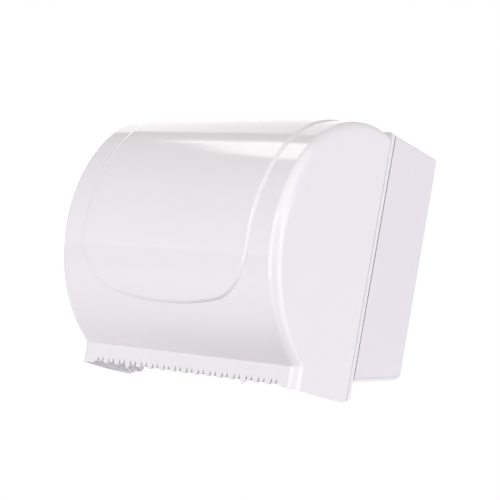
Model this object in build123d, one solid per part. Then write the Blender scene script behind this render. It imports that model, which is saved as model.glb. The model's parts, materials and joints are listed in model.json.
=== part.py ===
from build123d import *
import os
from math import asin, atan2, cos, degrees, hypot, pi, radians, sin, sqrt

# Roll towel dispenser for a wall, in millimetres.
# x runs along the roll, y runs from the room (negative) to the wall (zero), z is up.
# Pieces are drawn with z measured from the cover's lower edge. store() then moves them so that
# the origin lies on the wall, at the centre of the four screw holes.

# Overall form of the front cover
COVER_WIDTH = 290.0
COVER_HEIGHT = 261.2
COVER_REACH = 209.1
SEAM_FROM_WALL = 74.0
COVER_WALL = 2.8
CORE_OVERRUN = 20.0
BELLY_HEIGHT = 136.0
BELLY_RADIUS = 143.5
CROWN_RADIUS = 99.7
FOLD_RADIUS = 10.0
LIP_HEIGHT = 21.6
LIP_ROOT_RADIUS = 1.5
REAR_CORNER_RADIUS = 10.0
CROWN_ANGLE_MOST = 36.0
LIP_END_START = 112.0
LIP_END_RISE = 2.0

# Bead along the cover's rear edge
BEAD_WIDTH = 3.8
BEAD_RISE = 1.8
BEAD_CORNER_RADIUS = 4.0
BEAD_CHAMFER = 0.5

# Raised panel on the front
PANEL_HALF_WIDTH = 113.0
PANEL_FOOT_HEIGHT = 63.7
PANEL_CORNER_HEIGHT = 124.0
PANEL_CORNER_RADIUS = 55.0
PANEL_RISE = 1.6
PANEL_EDGE_RADIUS = 6.0

# Toothed edge of the lip
TEETH_PITCH = 15.55
TEETH_SHIFT = 2.2
TEETH_END_MARGIN = 20.0
LOBE_LOW = 3.0
LOBE_HIGH = 4.4
NOTCH_OFFSET = 3.25
NOTCH_HALF_WIDTH = 2.2
NOTCH_FOOT = 2.5
NOTCH_TOP = 9.2
NOTCH_DEPTH = 5.2
NOTCH_OVERRUN = 0.2
SPIKE_PITCHES = 5
SPIKE_HALF_WIDTH = 3.6
SPIKE_TIP = -0.1
SPIKE_THICKNESS = 1.6
SPIKE_TIP_WIDTH = 0.6

# Steel tear bar behind the lip
BLADE_THICKNESS = 0.8
BLADE_TOP = 16.5
BLADE_GULLET = 8.0
BLADE_TIP = 4.0
BLADE_TOOTH_HALF_WIDTH = 2.6
BLADE_MARGIN = 4.0
STAKE_RADIUS = 1.6
STAKE_HEAD_RADIUS = 3.0
STAKE_HEAD_THICKNESS = 1.2
STAKE_SPACING = 57.0
STAKE_END_MARGIN = 10.0
STAKE_HEIGHT = 12.0
STAKE_CLEARANCE = 0.04

# Rear case
CASE_WALL = 2.8
CASE_BACK = 3.0
SEAM_GAP = 1.4
CASE_TOP_BELOW_COVER = 8.5
CASE_TOP_AT_WALL = COVER_HEIGHT - CASE_TOP_BELOW_COVER
CASE_FLOOR_AT_WALL = 33.3
CASE_FLOOR_AT_SEAM = 20.0
CASE_SIDE_DRAFT = 3.5
CASE_HALF_AT_WALL = COVER_WIDTH / 2 - CASE_SIDE_DRAFT
CASE_FLUSH = 0.4
CASE_TOP_FOLD = 4.0
CASE_FLOOR_CORNER = 6.0
CASE_LOW_ROUNDING = 8.0
CASE_HIGH_ROUNDING = 3.5
CASE_LEAST_ROUNDING = 0.6
TONGUE_LENGTH = 5.0
TONGUE_WALL = 1.6
TONGUE_CLEARANCE = 0.5
TONGUE_ROOT = 13.0
TONGUE_ROOT_GROWTH = 2.6

# Floor tray that carries the towel's path to the lip
TRAY_FRONT = 122.0
TRAY_LIP_HEIGHT = 12.0
TRAY_LIP_RADIUS = 6.0
TRAY_SIDE_CLEARANCE = 5.0
TRAY_CREST_RADIUS = 0.45 * CASE_WALL

# Wall screws
SCREWS_HEIGHT = 142.0
SCREWS_ACROSS = 170.0
SCREWS_UP = 140.0
SCREW_HOLE_RADIUS = 2.75
SCREW_PAD_WIDTH = 20.0
SCREW_PAD_RISE = 2.0

# Cover hinge
HINGE_PIN_RADIUS = 2.5
HINGE_CLEARANCE = 0.05
HINGE_EAR_RADIUS = 7.0
HINGE_EAR_THICKNESS = 7.0
HINGE_EAR_ROOT = 26.0
HINGE_EAR_LEAN = 3.0
HINGE_BOSS_RADIUS = 8.0
HINGE_BOSS_LENGTH = 6.5
HINGE_SIDE_GAP = 0.3
HINGE_PIN_ENTRY = 5.5
HINGE_HEAD_RADIUS = 4.0
HINGE_HEAD_THICKNESS = 1.5

# Roll and its arms
ROLL_SIDE_ROOM = 43.5
ROLL_WIDTH = COVER_WIDTH - 2 * ROLL_SIDE_ROOM
AXLE_HEIGHT = 140.0
AXLE_FROM_WALL = 104.0
ARM_PIN_FROM_WALL = 15.0
ARM_PIN_SIDE_ROOM = 27.0
ARM_PIN_ACROSS = COVER_WIDTH / 2 - ARM_PIN_SIDE_ROOM
ARM_PIN_RADIUS = 2.5
ARM_THICKNESS = 4.0
ARM_RIM_DEPTH = 6.0
ARM_RIM_WALL = 2.5
ARM_TIP_RADIUS = 16.0
ARM_ROOT_HALF_HEIGHT = 21.7
ARM_ROOT_BACK = 2.0
ARM_ROOT_LENGTH = 11.0
ARM_KNUCKLE_RADIUS = 6.0
ARM_BRIDGE_HALF_WIDTH = 5.5
ARM_BOSS_RADIUS = 8.0
ARM_BOSS_RISE = 2.0
ARM_STOP_THICKNESS = 2.2
ARM_STOP_GAP = 0.3
ARM_STOP_REACH = 24.0
ARM_STOP_HALF_HEIGHT = 10.0
ARM_RUNNING_CLEARANCE = 0.05
ARM_SPRING_ROOM = 5.0
ARM_EAR_THICKNESS = 4.0
ARM_EAR_RADIUS = 8.0
ARM_EAR_FLARE = 6.0
ARM_EAR_GAP = 0.3
ARM_PIN_HEAD_RADIUS = 4.2
ARM_PIN_HEAD_THICKNESS = 1.4
ARM_PIN_TAIL = 3.2
CLIP_GROOVE_RADIUS = 1.9
CLIP_THICKNESS = 0.8
CLIP_RADIUS = 5.0
CLIP_MOUTH = 0.8

# Roll hubs
STUB_RADIUS = 5.0
HUB_CLEARANCE = 0.05
HUB_FLANGE_RADIUS = 25.0
HUB_FLANGE_THICKNESS = 2.5
HUB_NOSE_RADIUS = 18.2
HUB_NOSE_LENGTH = 10.0
HUB_WALL = 2.0
HUB_BEARING_WALL = 2.4
HUB_RIBS = 4
HUB_RIB_THICKNESS = 1.6
HUB_RIB_SINK = 0.5
HUB_ARM_GAP = 0.6
HUB_RECESS = 3.0
HUB_TIP_CHAMFER = 1.6
WASHER_RADIUS = 6.8
WASHER_THICKNESS = 1.0
WASHER_GAP = 0.2
HUB_SCREW_RADIUS = 1.75
HUB_SCREW_HEAD_RADIUS = 3.5
HUB_SCREW_HEAD = 1.5
HUB_SCREW_LENGTH = 10.0
SCREW_HOLE_CLEARANCE = 0.03
SCREW_HOLE_SPARE = 1.0
SCREW_CHAMFER_SHARE = 0.4
RECESS_DEPTH_SHARE = 0.6
RECESS_WIDTH_SHARE = 0.25
WASHER_HOLE_CLEARANCE = 0.1

# Arm springs
SPRING_WIRE = 1.2
SPRING_RADIUS = 4.2
SPRING_TURNS = 2
SPRING_SIDES = 8
SPRING_HEIGHT = 6.0
SPRING_SEAT_GAP = 0.1
SPRING_LEG = 24.0
SPRING_SHORT_LEG = 14.0
SPRING_ROOM_CLEARANCE = 0.3
SPRING_SAMPLE = 0.3
POST_WIDTH = 3.0
LUG_FROM_LEG_END = 4.5

# Cam lock in the cover's top
LOCK_FROM_SEAM = 17.0
LOCK_SEAT_RADIUS = 11.5
LOCK_SEAT_DEPTH = 0.3
LOCK_GRIP = 5.0
LOCK_HEAD_RADIUS = 10.0
LOCK_HEAD_THICKNESS = 1.6
LOCK_HEAD_CHAMFER = 0.6
LOCK_BARREL_RADIUS = 8.0
LOCK_BARREL_LENGTH = 13.5
LOCK_PLUG_RADIUS = 5.5
LOCK_PLUG_CLEARANCE = 0.06
LOCK_PLUG_HEAD_RADIUS = 6.8
LOCK_PLUG_HEAD_THICKNESS = 1.0
LOCK_BOSS_RADIUS = 14.0
LOCK_NUT_SIDE = 11.0
LOCK_NUT_THICKNESS = 3.5
LOCK_CLEARANCE = 0.04
KEY_SLOT_LENGTH = 7.0
KEY_SLOT_WIDTH = 1.6
KEY_SLOT_DEPTH = 6.0
CAM_SQUARE = 6.0
CAM_THICKNESS = 2.0
CAM_HALF_WIDTH = 6.0
CAM_REACH = 26.0
CAM_GAP = 0.3
CAM_WASHER_RADIUS = 5.5
CAM_WASHER_THICKNESS = 0.8
CAM_SCREW_RADIUS = 1.5
CAM_SCREW_HEAD_RADIUS = 3.6
CAM_SCREW_HEAD = 1.8
CAM_SCREW_LENGTH = 7.0
CAM_ROOT_RADIUS = 7.5
CAM_SQUARE_CLEARANCE = 0.05

# Steel keeper that the locked cam stands behind, staked to the case's tongue
KEEPER_BOSS_GAP = 0.5
KEEPER_INNER = LOCK_BOSS_RADIUS + KEEPER_BOSS_GAP
KEEPER_OUTER = 33.0
KEEPER_WALL = 2.0
KEEPER_GAP = 0.5
KEEPER_RIB_BELOW_CAM = 2.5
KEEPER_BACK_MARGIN = 1.0
KEEPER_BEND_CHAMFER = 1.6
KEEPER_STAKE_INSET = 5.0

# Places worked out from the sizes above
half_width = COVER_WIDTH / 2
SIDE = Plane(origin=(0, 0, 0), x_dir=(0, -1, 0), z_dir=(-1, 0, 0))
belly_centre = COVER_REACH - BELLY_RADIUS
radius_step = BELLY_RADIUS - CROWN_RADIUS
crown_rise = COVER_HEIGHT - CROWN_RADIUS - BELLY_HEIGHT
curved_rise = min(crown_rise, radius_step * sin(radians(CROWN_ANGLE_MOST)))
crown_angle = degrees(asin(curved_rise / radius_step))
straight = (crown_rise - curved_rise) / cos(radians(crown_angle))
crown_centre = belly_centre + radius_step * cos(radians(crown_angle)) - straight * sin(radians(crown_angle))
crown_height = COVER_HEIGHT - CROWN_RADIUS
lip_front = belly_centre + sqrt(BELLY_RADIUS**2 - (BELLY_HEIGHT - LIP_HEIGHT) ** 2)
lip_back = lip_front - COVER_WALL
hinge_from_wall = SEAM_FROM_WALL + REAR_CORNER_RADIUS
hinge_height = REAR_CORNER_RADIUS
case_front = SEAM_FROM_WALL - SEAM_GAP
cover_inside = half_width - COVER_WALL
lock_from_wall = SEAM_FROM_WALL + LOCK_FROM_SEAM
arm_inner = ROLL_WIDTH / 2 + HUB_FLANGE_THICKNESS + HUB_ARM_GAP
arm_outer = arm_inner + ARM_THICKNESS
web_inner = ROLL_WIDTH / 2 - HUB_NOSE_LENGTH + HUB_RECESS
stub_end = web_inner - WASHER_GAP
teeth_pairs = 2 * int((half_width - TEETH_END_MARGIN) / TEETH_PITCH)
teeth_half = teeth_pairs * TEETH_PITCH / 2
blade_half = teeth_half + BLADE_MARGIN
stake_side_count = int((blade_half - STAKE_END_MARGIN) / STAKE_SPACING)
BIG = 600.0

# How far an added feature reaches into the wall that it joins, and a cutter past what it cuts
SINK = 1.0

# How near to a surface an edge counts as lying on it
ON_SURFACE = 0.05


def crown_z(from_wall, inset=0.0):
    """Height of the cover's top above its lower edge, at a distance from the wall."""
    return crown_height + sqrt((CROWN_RADIUS - inset) ** 2 - (from_wall - crown_centre) ** 2)


def belly_low_z(from_wall, inset=0.0):
    """Height of the cover's lower front curve, at a distance from the wall."""
    return BELLY_HEIGHT - sqrt((BELLY_RADIUS - inset) ** 2 - (from_wall - belly_centre) ** 2)


seat_sides = [lock_from_wall - LOCK_SEAT_RADIUS, lock_from_wall + LOCK_SEAT_RADIUS]
lock_seat_z = min(crown_z(side, -PANEL_RISE) for side in seat_sides) - LOCK_SEAT_DEPTH
lock_boss_z = lock_seat_z - LOCK_GRIP
lock_bottom_z = lock_seat_z - LOCK_BARREL_LENGTH
cam_top_z = lock_bottom_z - CAM_GAP
cam_bottom_z = cam_top_z - CAM_THICKNESS
tongue_top = crown_z(SEAM_FROM_WALL, COVER_WALL) - TONGUE_CLEARANCE
keeper_top = tongue_top - TONGUE_WALL


def block(x0, x1, near, far, z0, z1):
    """A box between two x, two distances from the wall and two heights."""
    size = (abs(x1 - x0), abs(far - near), abs(z1 - z0))
    return Pos((x0 + x1) / 2, -(near + far) / 2, (z0 + z1) / 2) * Box(*size)


def rod_x(radius, x0, x1, from_wall, z):
    """A cylinder along x."""
    return Pos((x0 + x1) / 2, -from_wall, z) * Rot(0, 90, 0) * Cylinder(radius, abs(x1 - x0))


def rod_y(radius, x, near, far, z):
    """A cylinder along y."""
    return Pos(x, -(near + far) / 2, z) * Rot(90, 0, 0) * Cylinder(radius, abs(far - near))


def rod_z(radius, x, from_wall, z0, z1):
    """A cylinder along z."""
    return Pos(x, -from_wall, (z0 + z1) / 2) * Cylinder(radius, abs(z1 - z0))


def slab(face, x0, x1):
    """A side-view face made into a solid between two x."""
    return extrude(Pos(x0, 0, 0) * face, amount=x1 - x0, dir=(1, 0, 0))


def cover_outline(inset, back, floor):
    """Side view of the cover moved in by inset, from the lip round the front to the top's back."""
    belly = BELLY_RADIUS - inset
    crown = CROWN_RADIUS - inset
    front = lip_front - inset
    low = belly_low_z(front, inset)
    low_angle = degrees(atan2(low - BELLY_HEIGHT, front - belly_centre))
    back_angle = degrees(atan2(crown_z(back, inset) - crown_height, back - crown_centre))
    belly_arc = CenterArc((belly_centre, BELLY_HEIGHT), belly, low_angle, crown_angle - low_angle)
    crown_arc = CenterArc((crown_centre, crown_height), crown, crown_angle, back_angle - crown_angle)
    lip_floor = floor + LIP_END_RISE
    lower = Polyline((back, floor), (LIP_END_START, floor), (front, lip_floor), (front, low))
    rear = Line((back, crown_z(back, inset)), (back, floor))
    outline = lower + belly_arc + crown_arc + rear
    if straight > 0:
        outline += Line(belly_arc @ 1, crown_arc @ 0)
    face = make_face(outline)
    root = face.vertices().sort_by_distance((front, low))[0]
    return SIDE * fillet(root, LIP_ROOT_RADIUS)


def cover_slab(inset, back, floor):
    """The cover as a solid block moved in by inset, with the edges that its folds run along."""
    half = half_width - inset
    solid = slab(cover_outline(inset, back, floor), -half, half)
    ends = [e for e in solid.edges() if abs(abs(e.center().X) - half) < ON_SURFACE]
    front = [e for e in ends if -e.center().Y > back + ON_SURFACE]
    return solid, [e for e in front if e.center().Z > floor + LIP_END_RISE]


def cover_blank(inset, back, floor):
    """That block with its folds rounded, for the cover's outside."""
    _, folds = cover_slab(inset, back, floor)
    return fillet(folds, FOLD_RADIUS - inset)


def cover_core(back, floor):
    """That block with its folds cut flat, for the cover's inside; the wall is no thinner there."""
    _, folds = cover_slab(COVER_WALL, back, floor)
    return chamfer(folds, (FOLD_RADIUS - COVER_WALL) * (2 - sqrt(2)))


def panel_face():
    """Front view of the raised panel: straight sides, round corners and a bowed foot."""
    corner_x = PANEL_HALF_WIDTH - PANEL_CORNER_RADIUS
    rise = PANEL_CORNER_HEIGHT - PANEL_FOOT_HEIGHT
    bow = (corner_x**2 + rise**2 - PANEL_CORNER_RADIUS**2) / (2 * (rise - PANEL_CORNER_RADIUS))
    bow_angle = degrees(atan2(corner_x, bow - rise))
    foot = CenterArc((0, PANEL_FOOT_HEIGHT + bow), bow, 270 - bow_angle, 2 * bow_angle)
    right = CenterArc(
        (corner_x, PANEL_CORNER_HEIGHT), PANEL_CORNER_RADIUS, 270 + bow_angle, 90 - bow_angle
    )
    left = CenterArc((-corner_x, PANEL_CORNER_HEIGHT), PANEL_CORNER_RADIUS, 180, 90 - bow_angle)
    sides = Polyline(
        (PANEL_HALF_WIDTH, PANEL_CORNER_HEIGHT),
        (PANEL_HALF_WIDTH, COVER_HEIGHT + BELLY_RADIUS),
        (-PANEL_HALF_WIDTH, COVER_HEIGHT + BELLY_RADIUS),
        (-PANEL_HALF_WIDTH, PANEL_CORNER_HEIGHT),
    )
    return Plane.XZ * make_face(foot + right + sides + left)


def raised_panel():
    """The raised panel as a thick skin whose outer edge is rounded over."""
    back = SEAM_FROM_WALL - BEAD_WIDTH
    depth = PANEL_EDGE_RADIUS - PANEL_RISE + COVER_WALL
    outer = slab(cover_outline(-PANEL_RISE, back, -LIP_HEIGHT), -half_width, half_width)
    inner = slab(cover_outline(depth, back - BEAD_WIDTH, -2 * LIP_HEIGHT), -COVER_WIDTH, COVER_WIDTH)
    prism = extrude(panel_face(), amount=BIG)
    skin = (outer - inner) & prism
    rim = [e for e in skin.edges() if is_panel_rim(e)]
    return fillet(rim, PANEL_EDGE_RADIUS)


def is_panel_rim(edge):
    """True for an edge on the raised surface that runs round the panel's outline."""
    places = [edge @ 0.0, edge @ 0.5, edge @ 1.0]
    for place in places:
        from_wall = -place.Y
        belly_place = (from_wall - belly_centre, place.Z - BELLY_HEIGHT)
        crown_place = (from_wall - crown_centre, place.Z - crown_height)
        if degrees(atan2(belly_place[1], belly_place[0])) < crown_angle:
            reach = hypot(*belly_place) - BELLY_RADIUS
        elif degrees(atan2(crown_place[1], crown_place[0])) > crown_angle:
            reach = hypot(*crown_place) - CROWN_RADIUS
        else:
            lean = radians(crown_angle)
            reach = belly_place[0] * cos(lean) + belly_place[1] * sin(lean) - BELLY_RADIUS
        if abs(reach - PANEL_RISE) > ON_SURFACE:
            return False
    return abs((edge @ 0.5).X) > 0.1 * FOLD_RADIUS or (edge @ 0.5).Z < PANEL_CORNER_HEIGHT


def bead():
    """The raised bead round the cover's rear edge, with tighter corners than the cover's folds."""
    front = SEAM_FROM_WALL + BEAD_WIDTH
    side = make_face(
        Polyline(
            (SEAM_FROM_WALL, 0),
            (front, 0),
            (front, crown_z(front, -BEAD_RISE)),
            (SEAM_FROM_WALL, crown_z(SEAM_FROM_WALL, -BEAD_RISE)),
            close=True,
        )
    )
    band = slab(SIDE * side, -half_width - BEAD_RISE, half_width + BEAD_RISE)
    corners = [e for e in band.edges() if abs(e.center().X) > half_width and e.center().Z > BELLY_HEIGHT]
    band = fillet([e for e in corners if abs((e @ 0).Y - (e @ 1).Y) > 0.5 * BEAD_WIDTH], BEAD_CORNER_RADIUS)
    outer = [e for e in band.edges() if is_bead_edge(e)]
    return chamfer(outer, BEAD_CHAMFER)


def is_bead_edge(edge):
    """True for the bead's two long outer edges, away from its foot."""
    middle = edge @ 0.5
    flat = abs((edge @ 0.0).Y - (edge @ 1.0).Y) < ON_SURFACE
    return flat and middle.Z > ON_SURFACE


def pair_places():
    """The x of the middle of every pair of notches."""
    first = TEETH_SHIFT - teeth_half + TEETH_PITCH / 2
    return [first + pair * TEETH_PITCH for pair in range(teeth_pairs)]


def wave_face():
    """What is cut away below the scalloped edge, seen from the front."""
    quarter = TEETH_PITCH / 4
    middle = (LOBE_LOW + LOBE_HIGH) / 2
    left = TEETH_SHIFT - teeth_half
    right = TEETH_SHIFT + teeth_half
    line = Polyline((left - quarter, 0), (left, middle), (left + quarter, middle))
    for x in pair_places():
        line += ThreePointArc((x - quarter, middle), (x, LOBE_HIGH), (x + quarter, middle))
        lobe = x + 2 * quarter
        if lobe < right - quarter:
            line += ThreePointArc((lobe - quarter, middle), (lobe, LOBE_LOW), (lobe + quarter, middle))
    line += Polyline((right - quarter, middle), (right, middle), (right + quarter, 0))
    line += Polyline(
        (right + quarter, 0),
        (right + quarter, -LIP_HEIGHT),
        (left - quarter, -LIP_HEIGHT),
        (left - quarter, 0),
    )
    return Plane.XZ * make_face(line)


def notch_places():
    """The x of every notch: two for each pair."""
    return [x + side * NOTCH_OFFSET for x in pair_places() for side in (-1, 1)]


def notch():
    """A pointed cutter that is deepest at the lip's lower edge and runs out above it."""
    base = Pos(0, -lip_front + (NOTCH_DEPTH - NOTCH_OVERRUN) / 2, NOTCH_FOOT)
    foot = base * Rectangle(2 * NOTCH_HALF_WIDTH, NOTCH_DEPTH + NOTCH_OVERRUN)
    return loft([foot.face(), Vertex(0, -(lip_front + NOTCH_OVERRUN), NOTCH_TOP)])


def spike(x):
    """A pointed spike that hangs from the lip."""
    centre = -(lip_front - SPIKE_THICKNESS / 2)
    root = Pos(x, centre, LOBE_HIGH) * Rectangle(2 * SPIKE_HALF_WIDTH, SPIKE_THICKNESS)
    tip = Pos(x, centre, SPIKE_TIP) * Rectangle(SPIKE_TIP_WIDTH, SPIKE_TIP_WIDTH)
    return loft([root, tip])


def stake_places():
    """The x of every stake that holds the tear bar."""
    numbers = range(-stake_side_count, stake_side_count + 1)
    return [TEETH_SHIFT + number * STAKE_SPACING for number in numbers]


def hinge_boss(side):
    """The cover's inner boss that the hinge pin runs in, at the side -1 or 1."""
    inner = side * (cover_inside - HINGE_BOSS_LENGTH)
    outer = side * (cover_inside + SINK)
    return rod_x(HINGE_BOSS_RADIUS, inner, outer, hinge_from_wall, hinge_height)


def hinge_bore(side):
    """The blind hole in that boss, with room past the pin's tip."""
    inner = cover_inside - HINGE_BOSS_LENGTH
    bore = HINGE_PIN_RADIUS + HINGE_CLEARANCE
    deep = inner + HINGE_PIN_ENTRY + HINGE_SIDE_GAP
    return rod_x(bore, side * (inner - SINK), side * deep, hinge_from_wall, hinge_height)


def stake(x):
    """A stake on the lip's inner face, its head closed over the tear bar."""
    face = lip_back - BLADE_THICKNESS
    tip = face - STAKE_HEAD_THICKNESS
    shank = rod_y(STAKE_RADIUS, x, tip, lip_back + SINK, STAKE_HEIGHT)
    return shank + rod_y(STAKE_HEAD_RADIUS, x, tip, face, STAKE_HEIGHT)


def front_cover():
    """The moulded cover: shell, raised panel, bead, toothed lip, bosses and stakes."""
    cover = cover_blank(0, SEAM_FROM_WALL, 0) + raised_panel() + bead()
    cover -= cover_core(SEAM_FROM_WALL - CORE_OVERRUN, -LIP_HEIGHT)
    cover -= block(-BIG, BIG, 0, SEAM_FROM_WALL, -BIG, BIG)
    low = hinge_height - REAR_CORNER_RADIUS - SINK
    corner = block(-BIG, BIG, SEAM_FROM_WALL - SINK, hinge_from_wall, low, hinge_height)
    cover -= corner - rod_x(REAR_CORNER_RADIUS, -BIG, BIG, hinge_from_wall, hinge_height)
    cover -= Pos(0, SINK - lip_back, 0) * extrude(wave_face(), amount=COVER_WALL + 2 * SINK)
    cutter = notch()
    cover -= [Pos(x, 0, 0) * cutter for x in notch_places()]
    cover += [spike(TEETH_SHIFT + side * SPIKE_PITCHES * TEETH_PITCH) for side in (-1, 1)]
    cover += [hinge_boss(side) for side in (-1, 1)]
    cover -= [hinge_bore(side) for side in (-1, 1)]
    cover += [stake(x) for x in stake_places()]
    boss_top = crown_z(lock_from_wall) - SINK
    cover += rod_z(LOCK_BOSS_RADIUS, 0, lock_from_wall, lock_boss_z, boss_top)
    cover -= rod_z(LOCK_SEAT_RADIUS, 0, lock_from_wall, lock_seat_z, BIG)
    bore = LOCK_BARREL_RADIUS + LOCK_CLEARANCE
    return cover - rod_z(bore, 0, lock_from_wall, lock_boss_z - SINK, BIG)


def tear_bar():
    """The serrated steel strip that lies against the lip's inner face."""
    height = BLADE_TOP - BLADE_GULLET
    strip = Pos(TEETH_SHIFT, BLADE_GULLET + height / 2) * Rectangle(2 * blade_half, height)
    for x in notch_places():
        points = [
            (x - BLADE_TOOTH_HALF_WIDTH, BLADE_GULLET),
            (x, BLADE_TIP),
            (x + BLADE_TOOTH_HALF_WIDTH, BLADE_GULLET),
        ]
        strip += make_face(Polyline(*points, close=True))
    hole = Circle(STAKE_RADIUS + STAKE_CLEARANCE)
    strip -= [Pos(x, STAKE_HEIGHT) * hole for x in stake_places()]
    plane = Plane.XZ.offset(lip_back - BLADE_THICKNESS)
    return extrude(plane * strip, amount=BLADE_THICKNESS)


def case_half(from_wall):
    """Half width of the rear case at a distance from the wall."""
    at_seam = half_width + BEAD_RISE - CASE_FLUSH
    return CASE_HALF_AT_WALL + (at_seam - CASE_HALF_AT_WALL) * from_wall / case_front


def case_top(from_wall):
    """Top of the rear case at a distance from the wall."""
    at_seam = crown_z(SEAM_FROM_WALL) + BEAD_RISE - CASE_FLUSH
    return CASE_TOP_AT_WALL + (at_seam - CASE_TOP_AT_WALL) * from_wall / case_front


def case_floor(from_wall):
    """Underside of the rear case at a distance from the wall."""
    return CASE_FLOOR_AT_WALL + (CASE_FLOOR_AT_SEAM - CASE_FLOOR_AT_WALL) * from_wall / case_front


def case_blank(inset, near, far):
    """The rear case as a tapered block moved in by inset, between two distances from the wall."""
    side = make_face(
        Polyline(
            (near, case_floor(near) + inset),
            (far, case_floor(far) + inset),
            (far, case_top(far) - inset),
            (near, case_top(near) - inset),
            close=True,
        )
    )
    plan = make_face(
        Polyline(
            (-case_half(near) + inset, -near),
            (case_half(near) - inset, -near),
            (case_half(far) - inset, -far),
            (-case_half(far) + inset, -far),
            close=True,
        )
    )
    solid = slab(SIDE * side, -BIG, BIG) & extrude(plan, amount=BIG, dir=(0, 0, 1))
    along = [e for e in solid.edges() if abs((e @ 0).Y - (e @ 1).Y) > 0.5 * (far - near)]
    solid = fillet([e for e in along if e.center().Z > AXLE_HEIGHT], CASE_TOP_FOLD - inset)
    along = [e for e in solid.edges() if abs((e @ 0).Y - (e @ 1).Y) > 0.5 * (far - near)]
    solid = fillet([e for e in along if e.center().Z < AXLE_HEIGHT], CASE_FLOOR_CORNER - inset)
    low_round = max(CASE_LOW_ROUNDING - inset, CASE_LEAST_ROUNDING)
    high_round = max(CASE_HIGH_ROUNDING - inset, CASE_LEAST_ROUNDING)
    round_side = fillet(side.vertices().sort_by_distance((near, case_floor(near)))[0], low_round)
    high = round_side.vertices().sort_by_distance((near, case_top(near)))[0]
    round_side = fillet(high, high_round)
    round_plan = fillet(plan.vertices().sort_by(Axis.Y)[-2:], high_round)
    solid -= slab(SIDE * (side - round_side), -BIG, BIG)
    return solid - extrude(plan - round_plan, amount=BIG, dir=(0, 0, 1))


def hoop(grow, corner):
    """Front view of the tongue: a hoop, its outside let out by grow and its foot left long."""
    half = cover_inside - TONGUE_CLEARANCE
    top = tongue_top + grow
    low = -LIP_HEIGHT
    outer = Pos(0, (top + low) / 2) * RectangleRounded(2 * (half + grow), top - low, corner)
    top = tongue_top - TONGUE_WALL
    half -= TONGUE_WALL
    low *= 2
    inner_corner = FOLD_RADIUS - COVER_WALL - TONGUE_WALL
    return outer - Pos(0, (top + low) / 2) * RectangleRounded(2 * half, top - low, inner_corner)


def tongue():
    """The thin rim that reaches from the case into the cover, against dust."""
    root = case_front - TONGUE_ROOT
    plane = Plane.XZ.offset(root)
    length = TONGUE_ROOT + SEAM_GAP + TONGUE_LENGTH
    rim = extrude(plane * hoop(0, FOLD_RADIUS - COVER_WALL), amount=length)
    rim += extrude(plane * hoop(TONGUE_ROOT_GROWTH, CASE_TOP_FOLD), amount=TONGUE_ROOT)
    return rim & block(-BIG, BIG, 0, BIG, case_floor(root) + CASE_FLOOR_CORNER, BIG)


def tray():
    """The floor tray, with its upturned lip, that reaches from the case towards the cover's lip."""
    half = cover_inside - TRAY_SIDE_CLEARANCE
    low = CASE_FLOOR_AT_SEAM
    high = low + CASE_WALL
    back = case_front - TONGUE_ROOT
    top = high + TRAY_LIP_HEIGHT
    face = make_face(
        Polyline(
            (back, case_floor(back)),
            (case_front, low),
            (TRAY_FRONT, low),
            (TRAY_FRONT, top),
            (TRAY_FRONT - CASE_WALL, top),
            (TRAY_FRONT - CASE_WALL, high),
            (case_front, high),
            (back, case_floor(back) + CASE_WALL),
            close=True,
        )
    )
    outer = face.vertices().sort_by_distance((TRAY_FRONT, low))[0]
    face = fillet(outer, TRAY_LIP_RADIUS)
    inner = face.vertices().sort_by_distance((TRAY_FRONT - CASE_WALL, high))[0]
    face = fillet(inner, TRAY_LIP_RADIUS - CASE_WALL)
    crest = face.vertices().sort_by(Axis.Y)[-2:]
    face = fillet(crest, TRAY_CREST_RADIUS)
    return slab(SIDE * face, -half, half)


def hinge_ear(side):
    """The case's ear under the tray that holds a hinge pin, at the side -1 or 1."""
    outer = cover_inside - HINGE_BOSS_LENGTH - HINGE_SIDE_GAP
    inner = outer - HINGE_EAR_THICKNESS
    middle = hinge_from_wall + HINGE_EAR_LEAN
    root = Pos(middle, CASE_FLOOR_AT_SEAM + SINK / 2) * Rectangle(HINGE_EAR_ROOT, SINK)
    eye = Pos(hinge_from_wall, hinge_height) * Circle(HINGE_EAR_RADIUS)
    ends = sorted([side * inner, side * outer])
    ear = slab(SIDE * make_hull(eye.edges() + root.edges()), *ends)
    near = side * (inner - SINK)
    return ear - rod_x(HINGE_PIN_RADIUS, near, side * (outer + SINK), hinge_from_wall, hinge_height)


def arm_ear(side, up):
    """One of the case's two ears that hold an arm pin."""
    start = ARM_ROOT_HALF_HEIGHT + ARM_EAR_GAP
    x = side * ARM_PIN_ACROSS
    root = Pos(x, -CASE_BACK) * Rectangle(2 * ARM_EAR_RADIUS + ARM_EAR_FLARE, SINK)
    eye = Pos(x, -ARM_PIN_FROM_WALL) * Circle(ARM_EAR_RADIUS)
    low = AXLE_HEIGHT + min(up * start, up * (start + ARM_EAR_THICKNESS))
    high = low + ARM_EAR_THICKNESS
    outline = make_hull(eye.edges() + root.edges())
    ear = extrude(Pos(0, 0, low) * outline, amount=ARM_EAR_THICKNESS)
    return ear - rod_z(ARM_PIN_RADIUS, x, ARM_PIN_FROM_WALL, low - SINK, high + SINK)


def spring_post(side):
    """The case's post that an arm spring's short leg bears on."""
    far = ARM_PIN_FROM_WALL - SPRING_RADIUS - SPRING_WIRE / 2 - SPRING_SEAT_GAP
    x = side * (ARM_PIN_ACROSS + SPRING_SHORT_LEG - POST_WIDTH)
    low = AXLE_HEIGHT - SPRING_HEIGHT / 2 - SPRING_WIRE
    half = POST_WIDTH / 2
    return block(x - half, x + half, CASE_BACK - SINK, far, low, low + 2 * POST_WIDTH)


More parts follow.
